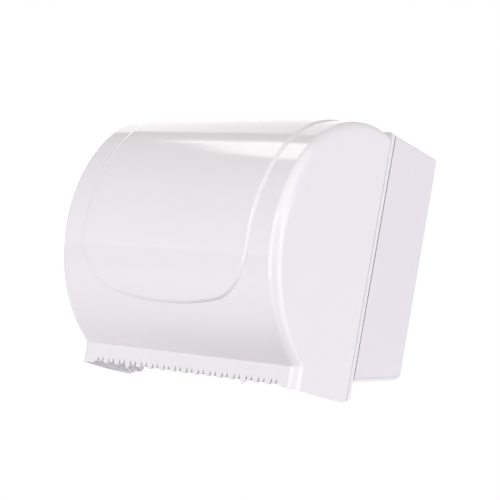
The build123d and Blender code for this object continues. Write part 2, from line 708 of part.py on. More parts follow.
def arm_stop(side):
    """The case's rib that stops an arm when its spring has brought it in."""
    outer = arm_inner - ARM_STOP_GAP
    inner = outer - ARM_STOP_THICKNESS
    low = AXLE_HEIGHT - ARM_STOP_HALF_HEIGHT
    high = AXLE_HEIGHT + ARM_STOP_HALF_HEIGHT
    return block(side * inner, side * outer, CASE_BACK - SINK, ARM_STOP_REACH, low, high)


def keeper_stake_places():
    """The x of the two stakes that hold the keeper under the tongue."""
    return [KEEPER_INNER + KEEPER_STAKE_INSET, KEEPER_OUTER - KEEPER_STAKE_INSET]


def keeper_stake(x):
    """A stake under the tongue, its head closed over the keeper."""
    from_wall = case_front - TONGUE_ROOT / 2
    face = keeper_top - KEEPER_WALL
    head = face - STAKE_HEAD_THICKNESS
    shank = rod_z(STAKE_RADIUS, x, from_wall, head, keeper_top + SINK)
    return shank + rod_z(STAKE_HEAD_RADIUS, x, from_wall, head, face)


def lock_keeper():
    """The keeper: a steel angle under the tongue whose leg stands in front of the locked cam."""
    front = lock_from_wall + CAM_HALF_WIDTH + KEEPER_GAP
    far = front + KEEPER_WALL
    back = case_front - TONGUE_ROOT + KEEPER_BACK_MARGIN
    foot = cam_bottom_z - KEEPER_RIB_BELOW_CAM
    plate = block(KEEPER_INNER, KEEPER_OUTER, back, far, keeper_top - KEEPER_WALL, keeper_top)
    plate += block(KEEPER_INNER, KEEPER_OUTER, front, far, foot, keeper_top)
    bend = [e for e in plate.edges().filter_by(Axis.X) if e.center().Z > keeper_top - 0.1 * KEEPER_WALL]
    plate = chamfer([e for e in bend if -e.center().Y > front], KEEPER_BEND_CHAMFER)
    from_wall = case_front - TONGUE_ROOT / 2
    hole = STAKE_RADIUS + STAKE_CLEARANCE
    for x in keeper_stake_places():
        plate -= rod_z(hole, x, from_wall, keeper_top - KEEPER_WALL - SINK, keeper_top + SINK)
    return plate


def rear_case():
    """The moulded rear housing with its tray, ears, posts, screw pads and stakes."""
    case = case_blank(0, 0, case_front)
    case -= case_blank(CASE_WALL, CASE_BACK, case_front + TONGUE_LENGTH)
    case += tongue()
    case += tray()
    case += [hinge_ear(side) for side in (-1, 1)]
    case += [arm_ear(side, up) for side in (-1, 1) for up in (-1, 1)]
    case += [spring_post(side) for side in (-1, 1)]
    case += [arm_stop(side) for side in (-1, 1)]
    case += [keeper_stake(x) for x in keeper_stake_places()]
    pad_face = CASE_BACK + SCREW_PAD_RISE
    half = SCREW_PAD_WIDTH / 2
    for x in (-SCREWS_ACROSS / 2, SCREWS_ACROSS / 2):
        for z in (SCREWS_HEIGHT - SCREWS_UP / 2, SCREWS_HEIGHT + SCREWS_UP / 2):
            case += block(x - half, x + half, CASE_BACK - SINK, pad_face, z - half, z + half)
            case -= rod_y(SCREW_HOLE_RADIUS, x, -SINK, pad_face + SINK, z)
    return case


def hinge_pin(side):
    """A headed pin that is fixed in the case's ear and runs in the cover's boss."""
    outer = cover_inside - HINGE_BOSS_LENGTH - HINGE_SIDE_GAP
    inner = outer - HINGE_EAR_THICKNESS
    tip = outer + HINGE_SIDE_GAP + HINGE_PIN_ENTRY
    pin = rod_x(HINGE_PIN_RADIUS, side * inner, side * tip, hinge_from_wall, hinge_height)
    far = side * (inner - HINGE_HEAD_THICKNESS)
    return pin + rod_x(HINGE_HEAD_RADIUS, far, side * inner, hinge_from_wall, hinge_height)


def axle_rod(radius, x0, x1):
    """A cylinder on the roll's axle between two x."""
    return rod_x(radius, x0, x1, AXLE_FROM_WALL, AXLE_HEIGHT)


def pin_rod(radius, z0, z1):
    """A cylinder on the right arm pin's axis between two heights."""
    return rod_z(radius, ARM_PIN_ACROSS, ARM_PIN_FROM_WALL, z0, z1)


def arm_plate():
    """The arm's flat plate with a raised rim round its outer face."""
    tip = Pos(AXLE_FROM_WALL, AXLE_HEIGHT) * Circle(ARM_TIP_RADIUS)
    middle = ARM_PIN_FROM_WALL - ARM_ROOT_BACK + ARM_ROOT_LENGTH / 2
    root = Pos(middle, AXLE_HEIGHT) * Rectangle(ARM_ROOT_LENGTH, 2 * ARM_ROOT_HALF_HEIGHT)
    outline = make_hull(tip.edges() + root.edges())
    rim = outline - offset(outline, -ARM_RIM_WALL)
    plate = slab(SIDE * outline, arm_inner, arm_outer)
    return plate + slab(SIDE * rim, arm_outer, arm_outer + ARM_RIM_DEPTH)


def knuckle(up):
    """The arm's knuckle round its pin, above (1) or below (-1) the spring."""
    low, high = sorted([up * ARM_SPRING_ROOM, up * ARM_ROOT_HALF_HEIGHT])
    near = ARM_PIN_FROM_WALL - ARM_BRIDGE_HALF_WIDTH
    far = ARM_PIN_FROM_WALL + ARM_BRIDGE_HALF_WIDTH
    low += AXLE_HEIGHT
    high += AXLE_HEIGHT
    bridge = block(arm_inner + SINK, ARM_PIN_ACROSS, near, far, low, high)
    return pin_rod(ARM_KNUCKLE_RADIUS, low, high) + bridge


def spring_lug():
    """The lug on the arm's outer face that the spring's long leg bears on."""
    top = ARM_PIN_ACROSS - SPRING_RADIUS - SPRING_WIRE / 2 - SPRING_SEAT_GAP
    near = ARM_PIN_FROM_WALL + SPRING_LEG - LUG_FROM_LEG_END
    low = AXLE_HEIGHT + SPRING_HEIGHT / 2 - POST_WIDTH
    return block(arm_outer - SINK, top, near, near + POST_WIDTH, low, low + 2 * POST_WIDTH)


def right_arm():
    """The right roll arm: ribbed plate, knuckles for its pin, spring lug and axle stub."""
    arm = arm_plate() + knuckle(-1) + knuckle(1)
    room = SPRING_RADIUS + SPRING_WIRE + SPRING_ROOM_CLEARANCE
    arm -= pin_rod(room, AXLE_HEIGHT - ARM_SPRING_ROOM, AXLE_HEIGHT + ARM_SPRING_ROOM)
    arm -= pin_rod(ARM_PIN_RADIUS + ARM_RUNNING_CLEARANCE, 0, BIG)
    arm += spring_lug()
    arm += axle_rod(STUB_RADIUS, stub_end, arm_inner + SINK)
    arm += axle_rod(ARM_BOSS_RADIUS, arm_outer - SINK, arm_outer + ARM_BOSS_RISE)
    hole_end = stub_end + HUB_SCREW_LENGTH + SCREW_HOLE_SPARE
    return arm - axle_rod(HUB_SCREW_RADIUS + SCREW_HOLE_CLEARANCE, stub_end - SINK, hole_end)


def right_hub():
    """The right hub: flange, nose, bearing tube, web and ribs, as one moulding."""
    face_x = ROLL_WIDTH / 2
    nose_x = face_x - HUB_NOSE_LENGTH
    flange_x = face_x + HUB_FLANGE_THICKNESS
    bore = STUB_RADIUS + HUB_CLEARANCE
    inside = HUB_NOSE_RADIUS - HUB_WALL
    profile = make_face(
        Polyline(
            (web_inner, bore),
            (flange_x + HUB_ARM_GAP / 2, bore),
            (flange_x + HUB_ARM_GAP / 2, bore + HUB_BEARING_WALL),
            (web_inner + HUB_WALL, bore + HUB_BEARING_WALL),
            (web_inner + HUB_WALL, inside),
            (flange_x, inside),
            (flange_x, HUB_FLANGE_RADIUS),
            (face_x, HUB_FLANGE_RADIUS),
            (face_x, HUB_NOSE_RADIUS),
            (nose_x, HUB_NOSE_RADIUS),
            (nose_x, inside),
            (web_inner, inside),
            close=True,
        )
    )
    tip = profile.vertices().sort_by_distance((nose_x, HUB_NOSE_RADIUS))[0]
    hub = revolve(chamfer(tip, HUB_TIP_CHAMFER), Axis.X)
    rib_low = bore + HUB_BEARING_WALL - HUB_RIB_SINK
    rib_high = inside + HUB_RIB_SINK
    rib_start = web_inner + HUB_WALL - HUB_RIB_SINK
    rib_middle = Pos((rib_start + flange_x) / 2, 0, (rib_low + rib_high) / 2)
    rib = rib_middle * Box(flange_x - rib_start, HUB_RIB_THICKNESS, rib_high - rib_low)
    hub += [Rot(360 * number / HUB_RIBS, 0, 0) * rib for number in range(HUB_RIBS)]
    return Pos(0, -AXLE_FROM_WALL, AXLE_HEIGHT) * hub


def right_hub_washer():
    """The washer that keeps the hub on its stub."""
    low = stub_end - WASHER_THICKNESS
    hole = axle_rod(HUB_SCREW_RADIUS + WASHER_HOLE_CLEARANCE, low - SINK, stub_end + SINK)
    return axle_rod(WASHER_RADIUS, low, stub_end) - hole


def cross_recess(size, depth):
    """A cross recess cutter, on z, that opens upwards from z = 0."""
    bar = Pos(0, 0, -depth / 2) * Box(size, RECESS_WIDTH_SHARE * size, depth)
    return bar + Rot(0, 0, 90) * bar


def screw(shank_radius, head_radius, head, length):
    """A pan-head screw on z whose head stands on z = 0 and whose shank points down."""
    body = Pos(0, 0, head / 2) * Cylinder(head_radius, head)
    body = chamfer(body.edges().sort_by(Axis.Z)[-1], SCREW_CHAMFER_SHARE * head)
    body += Pos(0, 0, -length / 2) * Cylinder(shank_radius, length)
    return body - Pos(0, 0, head) * cross_recess(head_radius, RECESS_DEPTH_SHARE * head)


def right_hub_screw():
    """The screw that holds the washer on the stub."""
    body = screw(HUB_SCREW_RADIUS, HUB_SCREW_HEAD_RADIUS, HUB_SCREW_HEAD, HUB_SCREW_LENGTH)
    place = Pos(stub_end - WASHER_THICKNESS, -AXLE_FROM_WALL, AXLE_HEIGHT)
    return place * Rot(0, -90, 0) * body


def right_arm_pin():
    """The headed steel pin that the arm pivots on, with a groove for its clip."""
    reach = ARM_ROOT_HALF_HEIGHT + ARM_EAR_GAP + ARM_EAR_THICKNESS
    low = AXLE_HEIGHT - reach
    high = AXLE_HEIGHT + reach
    pin = pin_rod(ARM_PIN_RADIUS, low - ARM_PIN_TAIL, high)
    pin += pin_rod(ARM_PIN_HEAD_RADIUS, high, high + ARM_PIN_HEAD_THICKNESS)
    groove = pin_rod(ARM_PIN_RADIUS + SINK, low - CLIP_THICKNESS, low)
    return pin - (groove - pin_rod(CLIP_GROOVE_RADIUS, low - CLIP_THICKNESS, low))


def right_pin_clip():
    """The open clip in the arm pin's groove, flat against the lower ear."""
    high = AXLE_HEIGHT - ARM_ROOT_HALF_HEIGHT - ARM_EAR_GAP - ARM_EAR_THICKNESS
    low = high - CLIP_THICKNESS
    clip = pin_rod(CLIP_RADIUS, low, high) - pin_rod(CLIP_GROOVE_RADIUS, low, high)
    mouth = CLIP_MOUTH * CLIP_GROOVE_RADIUS
    left = ARM_PIN_ACROSS - mouth
    right = ARM_PIN_ACROSS + mouth
    return clip - block(left, right, ARM_PIN_FROM_WALL, BIG, low, high)


def biarc(start, start_way, end, end_way):
    """Two arcs that leave start and reach end in the given directions."""
    across = end - start
    ways = start_way + end_way
    a = 2 * (1 - start_way.dot(end_way))
    b = 2 * across.dot(ways)
    c = -across.dot(across)
    reach = (-b + sqrt(b * b - 4 * a * c)) / (2 * a)
    joint = (start + start_way * reach + end - end_way * reach) * 0.5
    joint_way = (end - end_way * reach - start - start_way * reach).normalized()
    return [TangentArc(start, joint, tangent=start_way), TangentArc(joint, end, tangent=joint_way)]


def least_gap(wire):
    """The least free distance between parts of the spring more than half a turn apart."""
    steps = round(wire.length / SPRING_SAMPLE)
    points = [wire.position_at(step / steps) for step in range(steps + 1)]
    half_turn = round(pi * SPRING_RADIUS / SPRING_SAMPLE)
    least = BIG
    for first, point in enumerate(points):
        for other in points[first + half_turn :]:
            least = min(least, (point - other).length)
    return least - SPRING_WIRE


def right_arm_spring():
    """The torsion spring round the arm pin, one unbroken wire with two straight legs."""
    spans = 4 * SPRING_TURNS + 1
    climb = SPRING_HEIGHT / spans

    def place(span):
        angle = radians(90 + 90 * span)
        return Vector(SPRING_RADIUS * cos(angle), SPRING_RADIUS * sin(angle), span * climb)

    def way(span):
        angle = radians(90 + 90 * span)
        lift = 0 if span in (0, spans) else climb / (pi / 2)
        return Vector(-SPRING_RADIUS * sin(angle), SPRING_RADIUS * cos(angle), lift).normalized()

    first = place(0)
    last = place(spans)
    path = [Line(first - way(0) * SPRING_SHORT_LEG, first)]
    for span in range(spans):
        path += biarc(place(span), way(span), place(span + 1), way(span + 1))
    path += [Line(last, last + way(spans) * SPRING_LEG)]
    wire = Wire(path)
    print("spring's least gap to itself", round(least_gap(wire), 2), "mm")
    end = Plane(origin=first - way(0) * SPRING_SHORT_LEG, z_dir=way(0))
    ring = end * RegularPolygon(SPRING_WIRE / 2, SPRING_SIDES, major_radius=False)
    spring = sweep(ring, path=wire)
    low = AXLE_HEIGHT - SPRING_HEIGHT / 2
    return Pos(ARM_PIN_ACROSS, -ARM_PIN_FROM_WALL, low) * spring


def lock_rod(radius, z0, z1):
    """A cylinder on the lock's axis between two heights."""
    return rod_z(radius, 0, lock_from_wall, z0, z1)


def lock_barrel():
    """The lock's barrel: round head on the cover's seat, body through the wall, bore for the plug."""
    top = lock_seat_z + LOCK_HEAD_THICKNESS
    barrel = lock_rod(LOCK_HEAD_RADIUS, lock_seat_z, top)
    barrel = chamfer(barrel.edges().sort_by(Axis.Z)[-1], LOCK_HEAD_CHAMFER)
    barrel += lock_rod(LOCK_BARREL_RADIUS, lock_bottom_z, lock_seat_z)
    barrel -= lock_rod(LOCK_PLUG_RADIUS + LOCK_PLUG_CLEARANCE, lock_bottom_z - SINK, BIG)
    recess = LOCK_PLUG_HEAD_THICKNESS + CAM_GAP
    return barrel - lock_rod(LOCK_PLUG_HEAD_RADIUS + LOCK_PLUG_CLEARANCE, top - recess, BIG)


def lock_nut():
    """The hexagon nut that pulls the barrel against the cover's boss."""
    nut = extrude(RegularPolygon(LOCK_NUT_SIDE, 6, major_radius=False), amount=LOCK_NUT_THICKNESS)
    nut -= Cylinder(LOCK_BARREL_RADIUS + LOCK_CLEARANCE, 4 * LOCK_NUT_THICKNESS)
    return Pos(0, -lock_from_wall, lock_boss_z - LOCK_NUT_THICKNESS) * nut


def lock_plug():
    """The turning plug with its key slot, and the square that carries the cam."""
    top = lock_seat_z + LOCK_HEAD_THICKNESS - 0.5 * CAM_GAP
    head_low = top - LOCK_PLUG_HEAD_THICKNESS
    plug = lock_rod(LOCK_PLUG_HEAD_RADIUS, head_low, top)
    plug += lock_rod(LOCK_PLUG_RADIUS, cam_top_z, head_low)
    half = CAM_SQUARE / 2
    near = lock_from_wall - half
    plug += block(-half, half, near, near + CAM_SQUARE, cam_bottom_z, cam_top_z)
    slot = KEY_SLOT_WIDTH / 2
    near = lock_from_wall - KEY_SLOT_LENGTH / 2
    plug -= block(-slot, slot, near, near + KEY_SLOT_LENGTH, top - KEY_SLOT_DEPTH, top + SINK)
    hole = CAM_SCREW_RADIUS + SCREW_HOLE_CLEARANCE
    hole_top = cam_bottom_z + CAM_SCREW_LENGTH + SCREW_HOLE_SPARE
    return plug - lock_rod(hole, cam_bottom_z - SINK, hole_top)


def lock_cam():
    """The cam: a flat tongue on the plug's square, pointing back to the wall when unlocked."""
    reach = CAM_REACH - CAM_HALF_WIDTH
    arm = Pos(0, reach / 2) * Rectangle(2 * CAM_HALF_WIDTH, reach)
    tip = Pos(0, reach) * Circle(CAM_HALF_WIDTH)
    square = CAM_SQUARE + 2 * CAM_SQUARE_CLEARANCE
    flat = Circle(CAM_ROOT_RADIUS) + arm + tip - Rectangle(square, square)
    return Pos(0, -lock_from_wall, cam_bottom_z) * extrude(flat, amount=CAM_THICKNESS)


def cam_washer():
    """The washer under the cam's screw."""
    low = cam_bottom_z - CAM_WASHER_THICKNESS
    hole = lock_rod(CAM_SCREW_RADIUS + WASHER_HOLE_CLEARANCE, low - SINK, cam_bottom_z + SINK)
    return lock_rod(CAM_WASHER_RADIUS, low, cam_bottom_z) - hole


def cam_screw():
    """The screw that holds the cam on the plug."""
    body = screw(CAM_SCREW_RADIUS, CAM_SCREW_HEAD_RADIUS, CAM_SCREW_HEAD, CAM_SCREW_LENGTH)
    return Pos(0, -lock_from_wall, cam_bottom_z - CAM_WASHER_THICKNESS) * Rot(180, 0, 0) * body


def store(name, shape):
    """Move a piece so that the origin is at the screw pattern's centre, and write it."""
    solids = (Pos(0, 0, -SCREWS_HEIGHT) * shape).solids()
    print(name, len(solids), "solid", round(sum(s.volume for s in solids)), "mm3")
    export_step(solids[0] if len(solids) == 1 else Compound(solids), f"parts/{name}.step")


def store_pair(name, right):
    """Write the right-hand piece and its mirror image for the left."""
    store("right_" + name, right)
    store("left_" + name, mirror(right, about=Plane.YZ))


os.makedirs("parts", exist_ok=True)
store("front_cover", front_cover())
store("tear_bar", tear_bar())
store("rear_case", rear_case())
store_pair("hinge_pin", hinge_pin(1))
store_pair("arm", right_arm())
store_pair("arm_pin", right_arm_pin())
store_pair("pin_clip", right_pin_clip())
store_pair("arm_spring", right_arm_spring())
store_pair("hub", right_hub())
store_pair("hub_washer", right_hub_washer())
store_pair("hub_screw", right_hub_screw())
store("lock_barrel", lock_barrel())
store("lock_nut", lock_nut())
store("lock_plug", lock_plug())
store("lock_cam", lock_cam())
store("lock_keeper", lock_keeper())
store("cam_washer", cam_washer())
store("cam_screw", cam_screw())
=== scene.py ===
# %% [markdown]
# # A roll towel dispenser
#
# The dispenser hangs on a washroom wall. A deep white cover with a curved front hides the towel
# roll, and a row of small teeth along its lower lip tears the towel. Its solids already exist, so
# this lesson gives them their finishes, their light and their camera. Every length is in metres.

# %% Load the model
import json
import math

import bpy
from mathutils import Matrix, Vector

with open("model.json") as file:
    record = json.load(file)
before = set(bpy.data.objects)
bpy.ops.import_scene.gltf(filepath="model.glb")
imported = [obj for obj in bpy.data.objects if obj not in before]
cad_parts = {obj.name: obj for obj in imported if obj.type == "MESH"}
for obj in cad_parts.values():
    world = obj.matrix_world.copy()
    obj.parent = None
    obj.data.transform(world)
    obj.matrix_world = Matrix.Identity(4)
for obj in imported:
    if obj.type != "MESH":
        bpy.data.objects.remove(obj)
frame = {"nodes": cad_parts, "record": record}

scene = bpy.context.scene
nodes = frame["nodes"]
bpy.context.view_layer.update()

# %% [markdown]
# The photograph looks up at the dispenser from its right-hand front, with a long lens held at a
# slight tilt. A camera could be placed by hand, but its angles are known, so its three axes are
# worked out from them: one towards the right of the picture, one up it and one back to the lens.

# %% Place the camera
AZIMUTH, ELEVATION, TILT = (math.radians(angle) for angle in (43.38, -6.667, 10.211))
DISTANCE = 1.950
PICTURE = 500
FOCAL_PIXELS = 1989
SENSOR = 36.0
AIM = Vector((0, -0.100, -0.012))
SIDE_STEP, UP_STEP = 0.00794, 0.00508

level = math.cos(ELEVATION)
back = Vector((math.sin(AZIMUTH) * level, -math.cos(AZIMUTH) * level, math.sin(ELEVATION)))
across = Vector((math.cos(AZIMUTH), math.sin(AZIMUTH), 0))
upright = back.cross(across)
right = across * math.cos(TILT) + upright * math.sin(TILT)
up = upright * math.cos(TILT) - across * math.sin(TILT)

camera = bpy.data.objects.new("camera", bpy.data.cameras.new("camera"))
scene.collection.objects.link(camera)
camera.matrix_world = Matrix.Translation(
    AIM + back * DISTANCE + across * SIDE_STEP + upright * UP_STEP
) @ Matrix((right, up, back)).transposed().to_4x4()
camera.data.sensor_width = SENSOR
camera.data.lens = FOCAL_PIXELS * SENSOR / PICTURE
camera.data.clip_end = 50
scene.camera = camera
print("camera at", [round(c, 3) for c in camera.location], "lens", round(camera.data.lens, 1), "mm")

# %% [markdown]
# A finish is a small graph of nodes. Wiring each one by hand hides what it does, so one class
# wraps a socket and turns plain arithmetic into Math nodes, and one method makes any other node.
# A finish then reads like the sentence that describes it.

# %% Wrap sockets so that finishes read as arithmetic
class Value:
    """A socket of a shader graph that adds, subtracts, multiplies and divides like a number."""

    def __init__(self, tree, socket):
        self.tree = tree
        self.socket = socket

    def math(self, operation, *values):
        return self.tree.node("ShaderNodeMath", {"operation": operation}, values)

    def __add__(self, other):
        return self.math("ADD", self, other)

    def __sub__(self, other):
        return self.math("SUBTRACT", self, other)

    def __mul__(self, other):
        return self.math("MULTIPLY", self, other)

    def __truediv__(self, other):
        return self.math("DIVIDE", self, other)

    def __rsub__(self, other):
        return self.math("SUBTRACT", other, self)

    __radd__ = __add__
    __rmul__ = __mul__

    def clipped(self):
        return self.tree.node("ShaderNodeClamp", {}, [self])

    def ramp(self, start, end):
        """0 below start, 1 above end, and a soft step between them."""
        settings = {"interpolation_type": "SMOOTHSTEP"}
        return self.tree.node("ShaderNodeMapRange", settings, [self, start, end])


class Graph:
    """A shader graph that is written with Values. Its place is a point, or for a sky a direction."""

    def __init__(self, tree, place):
        self.nodes = tree.nodes
        self.links = tree.links
        self.place = self.node("ShaderNodeTexCoord", {}, [], place)

    def node(self, kind, settings, values, output=0):
        """Makes a node: settings first, then a value or a link for each socket in turn or by name."""
        made = self.nodes.new(kind)
        for key, value in settings.items():
            setattr(made, key, value)
        pairs = values.items() if isinstance(values, dict) else enumerate(values)
        for key, value in pairs:
            self.feed(made.inputs[key], value)
        return Value(self, made.outputs[output])

    def feed(self, socket, value):
        if isinstance(value, Value):
            self.links.new(value.socket, socket)
        else:
            socket.default_value = value

    def stretched(self, x, y, z):
        """The place on the object, with each axis scaled, for grain that runs one way."""
        return self.node("ShaderNodeVectorMath", {"operation": "MULTIPLY"}, [self.place, (x, y, z)])

    def noise(self, scale, detail=2.0, roughness=0.5, at=None):
        values = {"Vector": at or self.place, "Scale": scale, "Detail": detail, "Roughness": roughness}
        return self.node("ShaderNodeTexNoise", {}, values)

    def cells(self, scale):
        """The distance to the nearest of many scattered points."""
        return self.node("ShaderNodeTexVoronoi", {}, {"Vector": self.place, "Scale": scale})

    def mix(self, share, first, second):
        values = {0: share, 6: first, 7: second}
        return self.node("ShaderNodeMix", {"data_type": "RGBA"}, values, 2)


class Finish(Graph):
    """A material with its graph."""

    def __init__(self, name):
        self.material = bpy.data.materials.new(name)
        self.material.use_nodes = True
        super().__init__(self.material.node_tree, "Object")
        self.shader = self.nodes["Principled BSDF"]

    def set(self, **values):
        """Feeds the shader: base_color becomes the socket Base Color, and so on."""
        for key, value in values.items():
            name = " ".join(word.capitalize() for word in key.split("_"))
            self.feed(self.shader.inputs[name.replace("Ior", "IOR")], value)

    def bump(self, height, strength, distance):
        values = {"Strength": strength, "Distance": distance, "Height": height}
        self.set(normal=self.node("ShaderNodeBump", {}, values))


def colour(red, green, blue):
    return (red, green, blue, 1.0)


print("sockets wrapped")

# %% [markdown]
# The cover is glossy white ABS from a polished mould. Up close it isn't perfect: the surface has
# a faint orange peel, wiping has left hair-fine scratches, and a little dust and lint settles on
# it. Each of these only nudges colour, roughness or bump, so that the softboxes stay crisp in it.

# %% White moulded plastic
DUST_SHADES = (0.95, 0.945, 0.935)
DUST_SHARE, LINT_SHARE = 0.2, 0.25
LINT_TONE = colour(0.42, 0.40, 0.38)
SMEAR_ROUGH, STREAK_ROUGH, LINT_ROUGH = 0.025, 0.02, 0.2
PLASTIC_IOR = 1.52


def lint(finish, scale, share):
    """A mask of scattered specks: 1 on a speck. Share is how wide a speck is in its cell."""
    return 1 - finish.cells(scale).ramp(share * 0.6, share)


def wiped(finish, across_grain, along_grain):
    """Streaks that run one way, from 0 to 1."""
    grain = finish.stretched(along_grain, along_grain, across_grain)
    return finish.noise(1.0, 4.0, 0.7, grain)


def white_plastic(name, tone, gloss, peel, grain):
    finish = Finish(name)
    clean = colour(*tone)
    dusty = colour(*(channel * shade for channel, shade in zip(tone, DUST_SHADES)))
    cloud = finish.noise(9.0, 3.0, 0.6).ramp(0.3, 0.8)
    tinted = finish.mix(cloud * DUST_SHARE, clean, dusty)
    specks = lint(finish, 95.0, 0.03)
    finish.set(base_color=finish.mix(specks * LINT_SHARE, tinted, LINT_TONE))
    smears = finish.noise(14.0, 3.0, 0.6).ramp(0.3, 0.8)
    streaks = wiped(finish, 700.0, 25.0).ramp(0.45, 0.85)
    worn = smears * SMEAR_ROUGH + streaks * STREAK_ROUGH + specks * LINT_ROUGH
    finish.set(roughness=gloss + worn, ior=PLASTIC_IOR)
    height = finish.noise(160.0, 2.0) * peel + finish.noise(1500.0, 1.0) * grain
    finish.bump(height, 0.1, 0.0003)
    print(name, "made with", len(finish.nodes), "nodes")
    return finish.material


cover_white = white_plastic("glossy white cover", (0.833, 0.836, 0.893), 0.07, 0.4, 0.02)
case_white = white_plastic("satin white case", (0.803, 0.785, 0.862), 0.2, 0.3, 0.3)

# %% [markdown]
# The arms and hubs are acetal, a waxy engineering plastic. It comes out of the mould matt, with
# pale flow lines, and it rubs shiny where it turns.

# %% Grey moulded acetal
def acetal(name, tone):
    finish = Finish(name)
    flow = finish.noise(1.0, 3.0, 0.6, finish.stretched(18.0, 60.0, 18.0)).ramp(0.4, 0.7)
    fleck = lint(finish, 420.0, 0.12)
    pale = colour(*(min(1.0, channel * 1.18 + 0.01) for channel in tone))
    dark = colour(*(channel * 0.7 for channel in tone))
    finish.set(base_color=finish.mix(fleck * 0.5, finish.mix(flow * 0.5, colour(*tone), pale), dark))
    finish.set(roughness=0.42 + finish.noise(40.0, 3.0) * 0.16 + flow * 0.06)
    finish.bump(finish.noise(900.0, 3.0), 0.25, 0.0002)
    print(name, "made with", len(finish.nodes), "nodes")
    return finish.material


arm_grey = acetal("grey acetal", (0.34, 0.35, 0.37))
hub_grey = acetal("dark grey acetal", (0.085, 0.088, 0.095))

# %% [markdown]
# The metal here is of five kinds: a stamped strip with grinding lines, turned pins, drawn spring
# wire, zinc-plated small parts and the lock's chrome. They differ in which way the lines run and
# how bright they are, so one function takes the direction of the lines and a tone.

# %% Steel and chrome
def steel(name, tone, lines, rough, patches):
    finish = Finish(name)
    streaks = finish.noise(1.0, 5.0, 0.7, finish.stretched(*lines))
    clouds = finish.noise(60.0, 3.0, 0.6).ramp(0.35, 0.7)
    bright = colour(*tone)
    dull = colour(*(channel * shade for channel, shade in zip(tone, patches)))
    finish.set(base_color=finish.mix(clouds * 0.6, bright, dull), metallic=1.0)
    finish.set(roughness=rough + streaks * 0.16 + clouds * 0.08)
    finish.bump(streaks, 0.3, 0.00008)
    print(name, "made with", len(finish.nodes), "nodes")
    return finish.material


blade_steel = steel("ground strip", (0.58, 0.58, 0.59), (12.0, 900.0, 1800.0), 0.2, (0.9, 0.89, 0.87))
pin_steel = steel("turned steel", (0.62, 0.62, 0.63), (1600.0, 40.0, 1600.0), 0.16, (0.88, 0.87, 0.85))
wire_steel = steel("drawn wire", (0.46, 0.46, 0.48), (700.0, 700.0, 700.0), 0.22, (0.8, 0.78, 0.75))
zinc_steel = steel("zinc plate", (0.64, 0.66, 0.69), (300.0, 300.0, 300.0), 0.24, (0.92, 0.9, 0.8))
chrome = steel("chrome", (0.72, 0.72, 0.73), (90.0, 1200.0, 90.0), 0.04, (0.97, 0.97, 0.96))

# %% [markdown]
# Each solid keeps its shape and only takes a finish, chosen by the slot that it already has.

# %% Dress the solids
FINISHES = {
    "cover_plastic": cover_white,
    "case_plastic": case_white,
    "arm_plastic": arm_grey,
    "hub_plastic": hub_grey,
    "blade_steel": blade_steel,
    "pin_steel": pin_steel,
    "spring_steel": wire_steel,
    "zinc_steel": zinc_steel,
    "lock_chrome": chrome,
}
for part in frame["record"]["subparts"]:
    slots = nodes[part["node"]].data.materials
    slots.clear()
    slots.append(FINISHES[part["material_slot"]])

# %% [markdown]
# The photograph has a pure white ground. A floor that only takes light could not be that white
# without washing the cover out, so what a ray shows depends on where the ray comes from. This
# mask tells the rays that look from the rays that carry light.

# %% Tell looking rays from light
WHITE = colour(1, 1, 1)
BLACK = colour(0, 0, 0)


def camera_rays(graph):
    return graph.node("ShaderNodeLightPath", {}, [], "Is Camera Ray")


def looking_rays(graph):
    """1 for rays from the camera and for rays that a mirror or glass sends on, and 0 for light."""
    share = camera_rays(graph)
    for ray in ("Is Glossy Ray", "Is Transmission Ray"):
        share = share + graph.node("ShaderNodeLightPath", {}, [], ray)
    return share.clipped()


print("looking rays are camera, glossy and transmission rays")

# %% [markdown]
# A plain pale floor lies well below. The camera sees it almost white, and a little of its lit self
# still shows, with the dispenser's shadow. For the gloss of the cover the floor glows with painted
# light: a painted shadow close by under the dispenser, a painted bright pool further out in front, and
# painted dimming far off and on the right, so that the lower front darkens towards the lip.

# %% Floor
FLOOR_HEIGHT = -1.25
FLOOR_HALF = 6.0
FLOOR_ROUGHNESS = 0.7
FLOOR_TONES = (colour(0.62, 0.575, 0.60), colour(0.58, 0.54, 0.565))
MIRROR_PEAK = 1.7
PAINTED_SHADE_NEAR = (0.6, 1.6)
DIM_FAR = (2.4, 6.0)
DIM_RIGHT = (0.3, 1.2)
FAR_LOSS, RIGHT_LOSS = 0.7, 0.85
WHITE_SHARE = 0.985
EDGE_FADE = (1.5, 4.0)

floor_mesh = bpy.data.meshes.new("floor")
corners = [(x * FLOOR_HALF, y * FLOOR_HALF, 0) for x, y in ((-1, -1), (1, -1), (1, 1), (-1, 1))]
floor_mesh.from_pydata(corners, [], [(0, 1, 2, 3)])
floor = bpy.data.objects.new("floor", floor_mesh)
floor.location.z = FLOOR_HEIGHT
scene.collection.objects.link(floor)

pale = Finish("pale floor")
pale.set(base_color=pale.mix(pale.noise(3.0, 3.0) * 0.2, *FLOOR_TONES), roughness=FLOOR_ROUGHNESS)
distance = pale.node("ShaderNodeVectorMath", {"operation": "LENGTH"}, [pale.place], "Value")
# Painted reflection: for glossy rays the floor glows, dark close under the dispenser as a painted
# shadow, bright further out as a painted pool of light, and dimmer far off and on the right.
to_the_right = pale.node("ShaderNodeSeparateXYZ", {}, [pale.place], "X").ramp(*DIM_RIGHT)
painted_floor_reflection = distance.ramp(*PAINTED_SHADE_NEAR) * MIRROR_PEAK - distance.ramp(*DIM_FAR) * FAR_LOSS
painted_floor_reflection = painted_floor_reflection * (1 - to_the_right * RIGHT_LOSS)
from_camera = camera_rays(pale)
level = from_camera + (1 - from_camera) * painted_floor_reflection
shade = pale.mix(level * (1 / MIRROR_PEAK), BLACK, WHITE)
painted_floor_glow = pale.node("ShaderNodeEmission", {}, {"Color": shade, "Strength": MIRROR_PEAK})
lit = Value(pale, pale.shader.outputs[0])
share = looking_rays(pale) * (WHITE_SHARE + distance.ramp(*EDGE_FADE) * (1 - WHITE_SHARE))
shown = pale.node("ShaderNodeMixShader", {}, [share, lit, painted_floor_glow])
